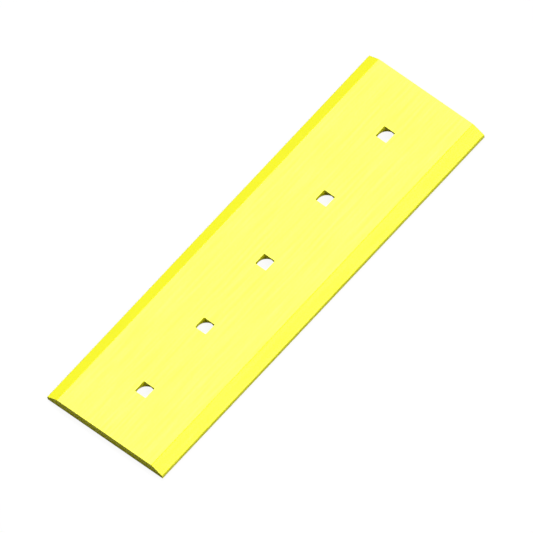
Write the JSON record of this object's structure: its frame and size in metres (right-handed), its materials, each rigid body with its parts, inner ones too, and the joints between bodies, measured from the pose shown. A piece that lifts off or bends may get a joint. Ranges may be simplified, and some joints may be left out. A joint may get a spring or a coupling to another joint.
{
  "type": "earthmover cutting edge",
  "caption": "Flat steel cutting edge with a bevel along both long sides and a row of square plow bolt holes with round head pockets, painted yellow.",
  "frame": {"origin": "middle of the flat wear face, on the surface that the edge lies on", "axes": "+X along the edge, +Y from lip to lip, +Z out of the seat face, up through the plate"},
  "size_m": [0.816, 0.25, 0.02],
  "materials": {
    "painted_steel": "satin"
  },
  "bodies": {
    "root": {"cutting_edge": "painted_steel"}
  },
  "joints": []
}
